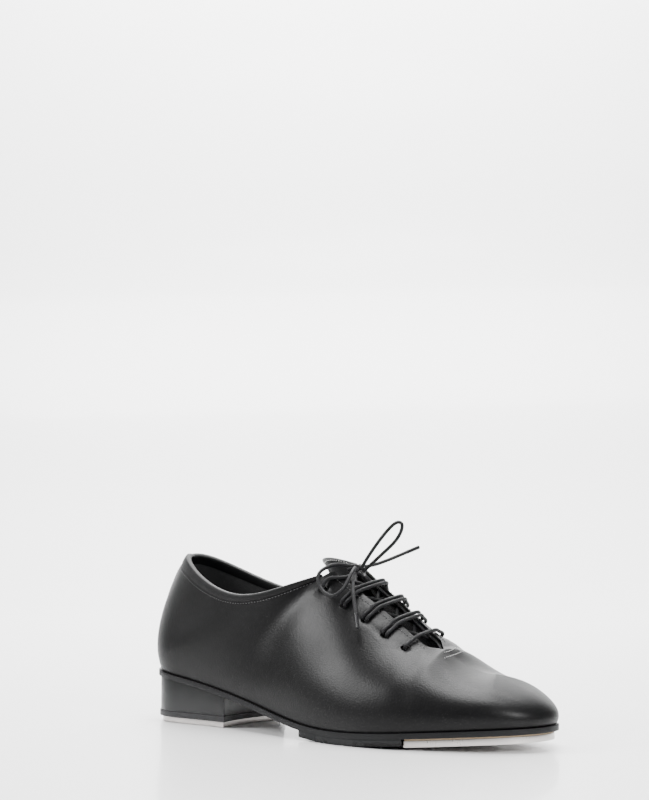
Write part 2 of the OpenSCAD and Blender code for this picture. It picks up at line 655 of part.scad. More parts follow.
end_ahead = [knot_at + [3.2, 3.8, 2.2], knot_at + [6, 10, 3.4], knot_at + [8, 20, 6],
    knot_at + [10, 32, 9.5]];
end_down = [knot_at + [1.6, -2.6, -1.2], knot_at + [5, -8.5, -4], knot_at + [10.5, -15.5, -10.5],
    knot_at + [17, -21.5, -21]];
module loop_up_cord() {
    color(lace_black) row_frame() cord(smooth(loop_up, 3), lace_d, 8);
}
module loop_side_cord() {
    color(lace_black) row_frame() cord(smooth(loop_side, 3), lace_d, 8);
}
module end_ahead_cord() {
    color(lace_black) row_frame() cord(smooth(end_ahead, 4), lace_d, 8);
}
module end_down_cord() {
    color(lace_black) row_frame() cord(smooth(end_down, 4), lace_d, 8);
}
aglet_len = 9;
module aglet(p) {
    n = len(p);
    d = unit(p[n - 1] - p[n - 2]);
    color([0.05, 0.05, 0.055]) row_frame() translate(p[n - 1] + 0.05 * d)
        rotate([0, acos(d[2]), atan2(d[1], d[0])]) {
            cylinder(d = lace_d + 0.2, h = aglet_len - 0.4);
            translate([0, 0, aglet_len - 0.4]) cylinder(d1 = lace_d + 0.2, d2 = lace_d - 0.5, h = 0.4);
        }
}
module aglet_ahead() {
    aglet(end_ahead);
}
module aglet_down() {
    aglet(end_down);
}

upper();
lining();
topline_binding();
back_strip();
heel_counter();
toe_puff();
stay_outer();
stay_inner();
tongue();
tongue_stitching();
throat_bartack();
outsole();
rubber_forepart();
toe_tap_board();
toe_tap();
toe_screw_outer();
toe_screw_inner();
toe_screw_front();
heel_block();
heel_nails();
heel_lift();
heel_tap();
heel_screw_back();
heel_screw_outer();
heel_screw_inner();
insole_board();
steel_shank();
sock_liner();
lace_lower();
lace_upper();
knot();
loop_up_cord();
loop_side_cord();
end_ahead_cord();
end_down_cord();
aglet_ahead();
aglet_down();
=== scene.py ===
"""Looks for the lace-up tap shoe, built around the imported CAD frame. Shapes are in millimetres."""
import json
import math

import bmesh
import bpy
import numpy as np
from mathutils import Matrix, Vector
from mathutils.bvhtree import BVHTree

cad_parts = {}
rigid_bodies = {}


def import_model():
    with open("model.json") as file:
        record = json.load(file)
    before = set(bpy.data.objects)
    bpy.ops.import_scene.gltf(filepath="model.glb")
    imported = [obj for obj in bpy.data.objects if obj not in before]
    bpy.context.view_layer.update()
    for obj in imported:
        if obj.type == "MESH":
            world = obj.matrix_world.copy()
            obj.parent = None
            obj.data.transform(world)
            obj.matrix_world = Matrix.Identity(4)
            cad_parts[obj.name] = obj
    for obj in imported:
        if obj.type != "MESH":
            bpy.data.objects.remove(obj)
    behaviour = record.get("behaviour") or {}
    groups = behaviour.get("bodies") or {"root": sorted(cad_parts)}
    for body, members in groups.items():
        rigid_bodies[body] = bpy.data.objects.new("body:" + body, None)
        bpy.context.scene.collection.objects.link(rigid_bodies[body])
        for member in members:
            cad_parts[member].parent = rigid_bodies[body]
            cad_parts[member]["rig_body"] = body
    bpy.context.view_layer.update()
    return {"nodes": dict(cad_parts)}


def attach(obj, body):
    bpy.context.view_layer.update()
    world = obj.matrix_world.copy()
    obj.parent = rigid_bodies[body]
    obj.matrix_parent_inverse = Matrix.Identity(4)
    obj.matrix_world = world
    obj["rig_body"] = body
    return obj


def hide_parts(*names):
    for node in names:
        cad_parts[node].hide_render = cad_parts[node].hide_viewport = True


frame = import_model()
MM = 0.001
ORIGIN = np.array([125.8, -4.0, 0.0])


def to_m(p):
    return (np.asarray(p, float) - ORIGIN) * MM


# ---------------------------------------------------------------- camera
def make_camera():
    az, up, side = math.radians(38.50), math.radians(4.45), math.radians(39.24)
    target = np.array([130.0, 0.0, 40.0])
    back = np.array([math.sin(az) * math.cos(up), -math.cos(az) * math.cos(up), math.sin(up)])
    pitch = math.radians(3.25)
    look = Vector((-math.sin(side) * math.cos(pitch), math.cos(side) * math.cos(pitch), math.sin(pitch)))
    data = bpy.data.cameras.new("camera")
    data.sensor_width = 36.0
    data.lens = 85.19
    data.clip_start = 0.02
    data.clip_end = 30.0
    cam = bpy.data.objects.new("camera", data)
    cam.location = Vector(to_m(target + 1011.6 * back))
    cam.rotation_euler = look.to_track_quat("-Z", "Y").to_euler()
    bpy.context.scene.collection.objects.link(cam)
    bpy.context.scene.camera = cam


make_camera()


# ---------------------------------------------------------------- shape formulas, as in part.scad
def bez(p, t):
    t = np.asarray(t, float)[..., None]
    p = np.asarray(p, float)
    return ((1 - t) ** 3 * p[..., 0, :] + 3 * t * (1 - t) ** 2 * p[..., 1, :]
            + 3 * t * t * (1 - t) * p[..., 2, :] + t ** 3 * p[..., 3, :])


def dbez(p, t):
    t = np.asarray(t, float)[..., None]
    return (3 * (1 - t) ** 2 * (p[..., 1, :] - p[..., 0, :]) + 6 * t * (1 - t) * (p[..., 2, :] - p[..., 1, :])
            + 3 * t * t * (p[..., 3, :] - p[..., 2, :]))


def unit(v):
    return v / np.maximum(np.linalg.norm(v, axis=-1, keepdims=True), 1e-9)


def mix(a, b, t):
    return a + (b - a) * t


def ramp(a, b, x):
    c = np.clip((np.asarray(x, float) - a) / (b - a), 0, 1)
    return c * c * (3 - 2 * c)


TIP = [251, 3.5]
SIDES = np.array([
    [[[0, 0], [0, -15], [9, -27.5], [26, -27.5]],
     [[26, -27.5], [50, -27.5], [75, -28.5], [98, -34]],
     [[98, -34], [127, -41], [160, -54], [196, -42.3]],
     [[196, -42.3], [226, -32.6], [251, -20], TIP]],
    [[[0, 0], [0, 15], [9, 27.5], [26, 27.5]],
     [[26, 27.5], [60, 27.5], [70, 22], [98, 22]],
     [[98, 22], [138, 22], [150, 39], [196, 39]],
     [[196, 39], [226, 39], [251, 24], TIP]]], float)
HEEL_BACK = 2.5
SEAT = np.array([
    [[-6, 29.9], [22, 27], [42, 24], [62, 20]],
    [[62, 20], [95, 14], [120, 6.2], [155, 6.2]],
    [[155, 6.2], [185, 6.2], [215, 10.2], [262, 12]]], float)
SEAT_PTS = np.concatenate([bez(np.repeat(s[None], 60, 0), np.linspace(0, 1, 60, endpoint=False)) for s in SEAT]
                          + [SEAT[-1][3:4]])
RIDGE = np.array([[110, 103], [130, 89], [145, 79], [160, 69.5], [175, 58.5], [188, 49.5], [200, 44.2],
                  [214, 38.6], [228, 33]], float)


def _smooth_ridge():
    x = np.arange(112, 226, 0.5)
    z = np.interp(x, RIDGE[:, 0], RIDGE[:, 1])
    k = np.ones(13) / 13
    for _ in range(2):
        z = np.convolve(np.pad(z, 6, mode="reflect", reflect_type="odd"), k, mode="valid")
    return x, z


RIDGE_X, RIDGE_Z = _smooth_ridge()
WELT = 1.4
CLEAR = 0.15
CROWN_Y, CROWN_R = 5.0, 40.0
THROAT_Y, THROAT_X, THROAT_U = -2.0, 194.0, 3.0
CORNER_X, CORNER_U = 130.0, 2.15
POLE, POLE_U = np.array([222, 2.5, 35.4]), 3.5
FACING_GAP = 17.0
TOP_BACK = np.array([[16, 0, 92], [18, 17, 95], [50, 28, 72], [77, 28.5, 71.5]], float)
TOP_FRONT = np.array([[77, 28.5, 71.5], [95, 28.8, 71.2], [110, 25, 79], [CORNER_X, 12.3, 85]], float)
LEATHER, LINING = 1.3, 0.7
LINING_OUT = LEATHER + 0.8
LINING_IN = LINING_OUT + LINING
BINDING_V = 0.05


def sign(sd):
    return np.where(np.asarray(sd) == 0, -1.0, 1.0)


def sole_top(x):
    return np.interp(x, SEAT_PTS[:, 0], SEAT_PTS[:, 1])


def ridge_z(x):
    return np.interp(x, RIDGE_X, RIDGE_Z)


def crown_drop(y):
    return (y - CROWN_Y) ** 2 / (2 * CROWN_R)


def plan_at(sd, u, inset):
    k = np.clip(np.floor(u), 0, 3).astype(int)
    c = SIDES[sd, k]
    p, d = bez(c, u - k), unit(dbez(c, u - k))
    s = sign(sd)[..., None]
    n = np.stack([d[..., 1], -d[..., 0]], -1) * s
    return p + inset * n + [HEEL_BACK, 0]


def facing_pt(sd, x):
    y = THROAT_Y + sign(sd) * (FACING_GAP / 2 - 0.08 * (x - 160)) * (1 - ramp(186, THROAT_X, x))
    return np.stack([x, y, ridge_z(x) - crown_drop(y)], -1)


def top_raw(sd, u):
    s = sign(sd)
    out = np.zeros(u.shape + (3,))
    a = bez(np.broadcast_to(TOP_BACK, u.shape + (4, 3)), np.clip(u / 1.2, 0, 1))
    a[..., 1] *= s
    t = np.clip((u - 1.2) / (CORNER_U - 1.2), 0, 1)
    b = bez(np.broadcast_to(TOP_FRONT, u.shape + (4, 3)), t)
    b[..., 1] *= s
    e = facing_pt(sd, np.full(u.shape, CORNER_X))
    b[..., 1] += (e[..., 1] - s * 12.3) * t * t
    b[..., 2] += (e[..., 2] - 85) * t * t
    c = facing_pt(sd, mix(CORNER_X, THROAT_X, np.clip((u - CORNER_U) / (THROAT_U - CORNER_U), 0, 1)))
    w = ramp(THROAT_U, POLE_U, u)
    x = mix(THROAT_X, POLE[0], w)
    d = np.stack([x, mix(THROAT_Y, POLE[1], w), mix(ridge_z(x), POLE[2], w)], -1)
    out[:] = POLE
    for m, val in ((u < POLE_U, d), (u < THROAT_U, c), (u < CORNER_U, b), (u < 1.2, a)):
        out[m] = val[m]
    return out


def wall_pt(sd, u, v):
    sd, u, v = np.broadcast_arrays(np.asarray(sd), np.asarray(u, float), np.asarray(v, float))
    f = plan_at(sd, u, WELT)
    b = np.concatenate([f, sole_top(f[..., :1]) + CLEAR], -1)
    t = top_raw(sd, u)
    o = unit(b[..., :2] - t[..., :2])
    back, vamp, toe = 1 - ramp(0.2, 1.4, u), ramp(1.6, 2.5, u), ramp(2.8, 3.9, u)
    pn = plan_at(sd, u, 0) - plan_at(sd, u, 1)
    lift = mix(mix(20, 22, vamp), 10, toe)
    out = mix(mix(mix(4, 8, back), 5.5, vamp), 6.5, toe)
    h = mix(mix(mix(0.25, 0.64, back), 0.95, vamp), 1, toe)
    ridge = ramp(2.7, 3.05, u)
    d = mix(mix(mix(0.95, 0.85, back), 0.45 - 0.3 * sd, vamp), -0.08 * sign(sd) * (1 - toe), ridge)
    reach = mix(mix(mix(22, 32, back), 24, vamp), 16, toe)[..., None]
    fall = np.where(u > 2.6, 0.4 * o[..., 0] * ramp(2.6, 3.2, u), 0)
    w = np.clip(u / 0.6, 0, 1)[..., None]
    oo = mix(np.array([-1.0, 0.0]), o, w)
    p1 = b + np.concatenate([pn * out[..., None], lift[..., None]], -1)
    p2 = t + reach * np.stack([oo[..., 0] * h, oo[..., 1] * h, -d - fall], -1)
    return bez(np.stack([b, p1, p2, t], -2), v)


def wall_normal(sd, u, v):
    e = 0.02
    w = np.minimum(v, 0.94)
    n = unit(np.cross(wall_pt(sd, np.minimum(4, u + e), w) - wall_pt(sd, np.maximum(0, u - e), w),
                      wall_pt(sd, u, np.minimum(0.96, w + e)) - wall_pt(sd, u, np.maximum(0, w - e))))
    n = n * -sign(sd)[..., None]
    flat = (u < 0.01) | (u > 3.99)
    n0 = n.copy()
    n0[..., 1] = 0
    n = np.where(flat[..., None], unit(n0), n)
    k = (np.where(u > THROAT_U - 0.1, ramp(0.75, 1, v) * ramp(THROAT_U - 0.1, THROAT_U, u), 0))[..., None]
    return unit(mix(n, unit(np.array([0.4, 0, 1.0])), k))


def skin(sd, u, v, off):
    sd, u, v = np.broadcast_arrays(np.asarray(sd), np.asarray(u, float), np.asarray(v, float))
    return wall_pt(sd, u, v) + np.asarray(off)[..., None] * wall_normal(sd, u, v)


def skin1(sd, u, v, off):
    return skin(np.array([sd]), np.array([u]), np.array([v]), np.array([off]))[0]


def v_max(u):
    return 1 - BINDING_V * (1 - ramp(CORNER_U - 0.12, CORNER_U, u))


# ---------------------------------------------------------------- lacing routes
LACE_D = 1.9
EYELET_D = 4.4
EYELET_U = [2.17, 2.36, 2.53, 2.68, 2.83]
EYELET_V = 0.85
STRAND = 0.0145
BAR_OFF = LACE_D / 2 + 0.35
UNDER_OFF = -(LINING_IN + LACE_D / 2 + 0.2)
KNOT = np.array([138.5, -5, 85.2])
CROSS = LACE_D / 2 + 0.15


def over_pts(sd, k, w):
    u = EYELET_U[k] + w * STRAND
    return [skin1(sd, u, EYELET_V + 0.012, BAR_OFF), skin1(sd, u, 0.93, BAR_OFF + 0.1),
            skin1(sd, u, 1, BAR_OFF + 0.5)]


def hole_pts(sd, k, w):
    u = EYELET_U[k] + w * STRAND
    return [skin1(sd, u, EYELET_V, -0.4), skin1(sd, u, EYELET_V + 0.004, UNDER_OFF * 0.7)]


def under_pts(sd, k, w):
    u = EYELET_U[k] + w * STRAND
    return [skin1(sd, u, EYELET_V + 0.03, UNDER_OFF), skin1(sd, u, 0.96, UNDER_OFF - 0.1)]


def bar(k, w):
    return hole_pts(1, k, w)[::-1] + over_pts(1, k, w) + over_pts(0, k, w)[::-1] + hole_pts(0, k, w)


def diagonal(a, b, w, sink):
    p, q = under_pts(0, a, w), under_pts(1, b, w)
    return p + [(p[1] + q[1]) / 2 - [0, 0, sink]] + q[::-1]


def from_knot(sd):
    starts = [[[0, -2.6, -1.4], [-1, -7, -3.2]], [[0, 2.6, -1.4], [0.5, 7, -3.6]]][sd]
    return ([KNOT + s for s in starts] + [skin1(sd, EYELET_U[0], 0.93, BAR_OFF + 0.2),
            skin1(sd, EYELET_U[0], EYELET_V + 0.012, BAR_OFF)] + hole_pts(sd, 0, 0))


LACE_DOWN = (from_knot(0) + diagonal(0, 1, -1, -CROSS) + bar(1, -1) + diagonal(1, 2, -1, -CROSS) + bar(2, -1)
             + diagonal(2, 3, -1, -CROSS) + bar(3, -1) + diagonal(3, 4, 0, -CROSS) + bar(4, 0))
_low = hole_pts(0, 4, 0)
LACE_RISE = ([_low[1] + 0.1 * unit(_low[1] - _low[0])] + diagonal(4, 3, 1, CROSS) + bar(3, 1)
             + diagonal(3, 2, 1, CROSS) + bar(2, 1) + diagonal(2, 1, 1, CROSS) + bar(1, 1)
             + diagonal(1, 0, 0, CROSS) + from_knot(1)[::-1])
LOOP_UP = [[2.8, 0.8, 1.2], [8, 3, 10], [15, 6, 20], [20, 9, 25.5], [22.5, 11, 24], [19.5, 10, 16.5],
           [11, 6, 7.5], [3.2, 2.2, -0.4]]
LOOP_SIDE = [[-2, -1.6, 2.6], [-8, -8, 3.4], [-11, -17.5, -1], [-7.5, -20, -8.5], [1, -21.5, -12.5],
             [5.5, -17, -8.5], [5, -10, -1], [2.4, -3.6, 1.8]]
END_AHEAD = [[3.2, 3.8, 2.2], [6, 10, 3.4], [8, 20, 6], [10, 32, 9.5]]
END_DOWN = [[1.6, -2.6, -1.2], [5, -8.5, -4], [10.5, -15.5, -10.5], [17, -21.5, -21]]


def spline(p, n):
    p = np.asarray(p, float)
    out = []
    for i in range(len(p) - 1):
        a, b, c, d = p[max(i - 1, 0)], p[i], p[i + 1], p[min(i + 2, len(p) - 1)]
        for k in range(n):
            t = k / n
            out.append(0.5 * (2 * b + (c - a) * t + (2 * a - 5 * b + 4 * c - d) * t * t
                              + (3 * b - a - 3 * c + d) * t ** 3))
    return np.array(out + [p[-1]])


def soften(p, passes):
    for _ in range(passes):
        q = p.copy()
        q[1:-1] = 0.25 * p[:-2] + 0.5 * p[1:-1] + 0.25 * p[2:]
        p = q
    return p


def curve_tube(name, pts, dia, mat, body="shoe", caps=True):
    data = bpy.data.curves.new(name, "CURVE")
    data.dimensions = "3D"
    data.bevel_depth = dia / 2 * MM
    data.bevel_resolution = 5
    data.use_fill_caps = caps
    s = data.splines.new("POLY")
    s.points.add(len(pts) - 1)
    for q, p in zip(s.points, to_m(pts)):
        q.co = (*p, 1)
    data.materials.append(mat)
    obj = bpy.data.objects.new(name, data)
    bpy.context.scene.collection.objects.link(obj)
    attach(obj, body)
    return obj


# ---------------------------------------------------------------- materials
class Mat:
    """A small builder for one procedural material."""

    def __init__(self, name, color, rough, metallic=0.0, **sockets):
        self.mat = bpy.data.materials.new(name)
        self.mat.use_nodes = True
        self.nt = self.mat.node_tree
        self.bsdf = self.nt.nodes["Principled BSDF"]
        self.bsdf.inputs["Base Color"].default_value = (*color, 1)
        self.bsdf.inputs["Roughness"].default_value = rough
        self.bsdf.inputs["Metallic"].default_value = metallic
        for k, v in sockets.items():
            self.bsdf.inputs[k.replace("_", " ")].default_value = v
        self.coord = self.node("ShaderNodeTexCoord").outputs["Object"]
        self.normal = None

    def node(self, kind, **kw):
        n = self.nt.nodes.new(kind)
        for k, v in kw.items():
            setattr(n, k, v)
        return n

    def link(self, a, b):
        self.nt.links.new(a, b)

    def noise(self, scale, detail=4.0, rough=0.55, vec=None):
        n = self.node("ShaderNodeTexNoise")
        n.inputs["Scale"].default_value = scale
        n.inputs["Detail"].default_value = detail
        n.inputs["Roughness"].default_value = rough
        self.link(vec or self.coord, n.inputs["Vector"])
        return n.outputs["Fac"]

    def voronoi(self, scale, feature="F1", rand=1.0, vec=None):
        n = self.node("ShaderNodeTexVoronoi", feature=feature)
        n.inputs["Scale"].default_value = scale
        n.inputs["Randomness"].default_value = rand
        self.link(vec or self.coord, n.inputs["Vector"])
        return n.outputs["Distance"]

    def wave(self, scale, rot=(0, 0, 0), distort=0.0, direction="X"):
        m = self.node("ShaderNodeMapping")
        m.inputs["Rotation"].default_value = rot
        self.link(self.coord, m.inputs["Vector"])
        n = self.node("ShaderNodeTexWave", bands_direction=direction)
        n.inputs["Scale"].default_value = scale
        n.inputs["Distortion"].default_value = distort
        self.link(m.outputs["Vector"], n.inputs["Vector"])
        return n.outputs["Fac"]

    def math(self, op, a, b=0.5):
        n = self.node("ShaderNodeMath", operation=op)
        for i, v in enumerate((a, b)):
            if isinstance(v, (int, float)):
                n.inputs[i].default_value = v
            else:
                self.link(v, n.inputs[i])
        return n.outputs[0]

    def remap(self, fac, lo, hi, to_lo, to_hi):
        n = self.node("ShaderNodeMapRange")
        n.inputs["From Min"].default_value = lo
        n.inputs["From Max"].default_value = hi
        n.inputs["To Min"].default_value = to_lo
        n.inputs["To Max"].default_value = to_hi
        self.link(fac, n.inputs["Value"])
        return n.outputs["Result"]

    def tint(self, fac, a, b):
        n = self.node("ShaderNodeMix", data_type="RGBA")
        n.inputs[6].default_value = (*a, 1)
        n.inputs[7].default_value = (*b, 1)
        self.link(fac, n.inputs[0])
        self.link(n.outputs[2], self.bsdf.inputs["Base Color"])
        return self

    def rough(self, fac, lo, hi, at=(0.3, 0.7)):
        self.link(self.remap(fac, at[0], at[1], lo, hi), self.bsdf.inputs["Roughness"])
        return self

    def bump(self, height, strength, dist):
        n = self.node("ShaderNodeBump")
        n.inputs["Strength"].default_value = strength
        n.inputs["Distance"].default_value = dist
        self.link(height, n.inputs["Height"])
        if self.normal is not None:
            self.link(self.normal, n.inputs["Normal"])
        self.normal = n.outputs["Normal"]
        self.link(self.normal, self.bsdf.inputs["Normal"])
        return self


def leather_material(name, lo, hi, r0, r1, grain=0.35):
    m = Mat(name, lo, r0, Specular_IOR_Level=0.17, Coat_Weight=0.03, Coat_Roughness=0.25)
    broad = m.noise(22, 3)
    fine = m.noise(900, 3, 0.6)
    cells = m.voronoi(1150, "F1")
    pore = m.math("ADD", m.math("MULTIPLY", cells, 0.7), m.math("MULTIPLY", fine, 0.6))
    wear = m.math("ADD", m.math("MULTIPLY", broad, 0.7), m.math("MULTIPLY", fine, 0.3))
    m.tint(broad, lo, hi).rough(wear, r0, r1)
    m.bump(m.noise(60, 2), 0.10, 0.0008)
    m.bump(pore, grain, 0.00022)
    return m.mat


def fabric_material(name, lo, hi, pitch, rough=0.85, sheen=0.25):
    m = Mat(name, lo, rough, Sheen_Weight=sheen, Specular_IOR_Level=0.25)
    a = m.wave(1.0 / pitch / 6.2832 * 3.1416 * 2, (0, 0, 0), 0.3, "X")
    b = m.wave(1.0 / pitch / 6.2832 * 3.1416 * 2, (0, 0, 0), 0.3, "Y")
    w = m.math("MAXIMUM", a, b)
    m.tint(m.noise(180, 4), lo, hi).rough(m.noise(300), rough - 0.08, rough + 0.08)
    m.bump(w, 0.5, pitch * 0.25)
    m.bump(m.noise(2500, 2), 0.25, 0.0001)
    return m.mat


def lace_material():
    m = Mat("lace_braid", (0.012, 0.012, 0.013), 0.5, Sheen_Weight=0.02, Specular_IOR_Level=0.2)
    cells = m.voronoi(1900, "F1", 0.35)
    m.tint(m.noise(700, 3), (0.003, 0.003, 0.0035), (0.012, 0.012, 0.013)).rough(m.noise(1200), 0.42, 0.62)
    m.bump(cells, 0.7, 0.0003)
    return m.mat


def metal_material(name, color, r0, r1, scuff=0.5, grain_rot=0.0):
    m = Mat(name, color, r0, metallic=1.0)
    streak = m.node("ShaderNodeMapping")
    streak.inputs["Scale"].default_value = (1.0, 14.0, 1.0)
    streak.inputs["Rotation"].default_value = (0, 0, grain_rot)
    m.link(m.coord, streak.inputs["Vector"])
    brushed = m.noise(420, 3, 0.6, streak.outputs["Vector"])
    blotch = m.noise(38, 5, 0.65)
    dots = m.voronoi(260, "F1")
    lo = tuple(c * 0.82 for c in color)
    m.tint(blotch, lo, color)
    wear = m.math("ADD", m.math("MULTIPLY", blotch, 0.6), m.math("MULTIPLY", brushed, 0.4))
    m.rough(wear, r0, r1, (0.35, 0.65))
    m.bump(brushed, 0.12 * scuff, 0.0001)
    m.bump(m.remap(dots, 0.0, 0.12, 0.0, 1.0), 0.05 * scuff, 0.0001)
    return m.mat


def rubber_material(name, lo, hi, rough):
    m = Mat(name, lo, rough, Specular_IOR_Level=0.22)
    m.tint(m.noise(90, 5), lo, hi).rough(m.noise(140, 4), rough - 0.1, rough + 0.1)
    m.bump(m.noise(1500, 3), 0.25, 0.00015)
    m.bump(m.voronoi(400), 0.06, 0.0002)
    return m.mat


def board_material(name, lo, hi):
    m = Mat(name, lo, 0.85)
    m.tint(m.noise(500, 6, 0.7), lo, hi).rough(m.noise(300), 0.75, 0.95)
    m.bump(m.noise(1200, 4), 0.3, 0.0002)
    return m.mat


def plastic_material(name, lo, hi, rough):
    m = Mat(name, lo, rough, Specular_IOR_Level=0.28)
    m.tint(m.noise(60, 4), lo, hi).rough(m.noise(110, 5), rough - 0.06, rough + 0.09)
    m.bump(m.noise(900, 3), 0.1, 0.0001)
    return m.mat


LEATHER_MAT = leather_material("black_leather", (0.0016, 0.0016, 0.0018), (0.0034, 0.0034, 0.0037), 0.33, 0.45)
BINDING_MAT = leather_material("binding_leather", (0.0016, 0.0016, 0.0018), (0.004, 0.004, 0.0044),
                               0.42, 0.55, 0.45)
LINING_MAT = fabric_material("lining_cloth", (0.008, 0.008, 0.0085), (0.015, 0.015, 0.016), 0.0007)
SOCK_MAT = fabric_material("sock_cloth", (0.03, 0.03, 0.032), (0.05, 0.05, 0.053), 0.0009)
THREAD_MAT = fabric_material("pale_thread", (0.42, 0.42, 0.41), (0.62, 0.62, 0.60), 0.0003, 0.7, 0.4)
BLACK_THREAD = fabric_material("black_thread", (0.02, 0.02, 0.021), (0.035, 0.035, 0.036), 0.0003, 0.55, 0.3)
LACE_MAT = lace_material()
TAP_MAT = metal_material("tap_metal", (0.66, 0.63, 0.61), 0.26, 0.42)
SCREW_MAT = metal_material("screw_metal", (0.72, 0.70, 0.68), 0.2, 0.32, 0.4)
STEEL_MAT = metal_material("plain_steel", (0.5, 0.5, 0.51), 0.3, 0.5)
SOLE_MAT = rubber_material("sole_black", (0.004, 0.0042, 0.0046), (0.009, 0.0092, 0.01), 0.5)
TREAD_MAT = rubber_material("tread_rubber", (0.012, 0.0125, 0.013), (0.02, 0.0205, 0.0215), 0.62)
HEEL_MAT = plastic_material("heel_cover", (0.006, 0.0062, 0.0066), (0.011, 0.0113, 0.012), 0.36)
LIFT_MAT = rubber_material("heel_lift", (0.018, 0.018, 0.019), (0.035, 0.035, 0.037), 0.5)
BOARD_MAT = board_material("fibre_board", (0.28, 0.2, 0.13), (0.42, 0.32, 0.22))
STAY_MAT = fabric_material("stay_tape", (0.03, 0.03, 0.03), (0.06, 0.06, 0.06), 0.0008)
AGLET_MAT = plastic_material("aglet", (0.01, 0.01, 0.011), (0.016, 0.016, 0.017), 0.18)


# ---------------------------------------------------------------- free cords first
def free_cord(name, offsets, n, node):
    pts = soften(spline(KNOT + np.asarray(offsets, float), n), 2)
    obj = curve_tube(name, pts, LACE_D, LACE_MAT)
    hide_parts(node)
    return pts


free_cord("bow_loop_up", LOOP_UP, 5, "loop_up_cord")
free_cord("bow_loop_side", LOOP_SIDE, 5, "loop_side_cord")
free_cord("lace_end_ahead", END_AHEAD, 6, "end_ahead_cord")
free_cord("lace_end_down", END_DOWN, 6, "end_down_cord")


# ---------------------------------------------------------------- mesh helpers
def mesh_object(name, verts, faces, mat, body="shoe", smooth=True):
    me = bpy.data.meshes.new(name)
    me.from_pydata([tuple(v) for v in to_m(verts)], [], [tuple(int(i) for i in f) for f in faces])
    me.validate()
    me.materials.append(mat)
    if smooth:
        me.polygons.foreach_set("use_smooth", [True] * len(me.polygons))
    obj = bpy.data.objects.new(name, me)
    bpy.context.scene.collection.objects.link(obj)
    if body:
        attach(obj, body)
    return obj


def apply_modifiers(obj):
    bpy.context.view_layer.update()
    dg = bpy.context.evaluated_depsgraph_get()
    me = bpy.data.meshes.new_from_object(obj.evaluated_get(dg))
    old = obj.data
    obj.modifiers.clear()
    obj.data = me
    bpy.data.meshes.remove(old)
    return obj


def smooth_by_angle(obj, degrees=35):
    me = obj.data
    me.polygons.foreach_set("use_smooth", [True] * len(me.polygons))
    bm = bmesh.new()
    bm.from_mesh(me)
    limit = math.radians(degrees)
    for e in bm.edges:
        e.smooth = len(e.link_faces) == 2 and e.calc_face_angle(0) < limit
    bm.to_mesh(me)
    bm.free()


def bevelled(name, node, width, mat, segments=3, body=None, angle=28):
    """A copy of a hard CAD node with its facets merged and its edges rounded."""
    src = frame["nodes"][node]
    me = src.data.copy()
    me.name = name
    me.materials.clear()
    me.materials.append(mat)
    bm = bmesh.new()
    bm.from_mesh(me)
    bmesh.ops.remove_doubles(bm, verts=bm.verts, dist=2e-6)
    bmesh.ops.dissolve_limit(bm, angle_limit=math.radians(1.0), verts=bm.verts, edges=bm.edges)
    bm.to_mesh(me)
    bm.free()
    obj = bpy.data.objects.new(name, me)
    bpy.context.scene.collection.objects.link(obj)
    mod = obj.modifiers.new("round", "BEVEL")
    mod.width = width * MM
    mod.segments = segments
    mod.limit_method = "ANGLE"
    mod.angle_limit = math.radians(angle)
    mod.harden_normals = False
    apply_modifiers(obj)
    smooth_by_angle(obj)
    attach(obj, body or src["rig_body"])
    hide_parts(node)
    return obj


# ---------------------------------------------------------------- upper surface with its fine relief
def eyelet_centres():
    return [(sd, k, skin1(sd, EYELET_U[k], EYELET_V, 0)) for sd in (0, 1) for k in range(5)]


EYELETS = eyelet_centres()


def relief(sd, u, v, p):
    """Height in mm added along the normal: eyelet puckers and soft creases."""
    h = np.zeros(p.shape[:-1])
    for k, (s, _, c) in enumerate(EYELETS):
        d = p - c
        r = np.linalg.norm(d, axis=-1)
        near = (sd == s) & (r < 14)
        a = np.arctan2(d[..., 2] * 1.2, d[..., 0])
        h += np.where(near, -0.75 * np.exp(-(r / 3.4) ** 2)
                      + 0.22 * np.cos(7 * a + k) * np.exp(-((r - 4.2) / 2.2) ** 2), 0)
    x, y, z = p[..., 0], p[..., 1], p[..., 2]
    quarter = ramp(1.3, 2.3, u) * (1 - ramp(3.0, 3.4, u)) * ramp(0.25, 0.6, v)
    h += quarter * 0.35 * np.sin(x / 7.5 + z / 9.0 + 1.3 * np.sin(y / 11.0))
    h += 0.25 * ramp(0.1, 0.4, v) * np.sin(x / 19 + 0.8) * np.sin(z / 13 + 0.4) * (1 - ramp(3.3, 3.7, u))
    return h


def wall_columns(n):
    u = np.linspace(0, 4, n + 1)
    return np.concatenate([np.zeros(n + 1, int), np.ones(n - 1, int)]), np.concatenate([u, u[-2:0:-1]])


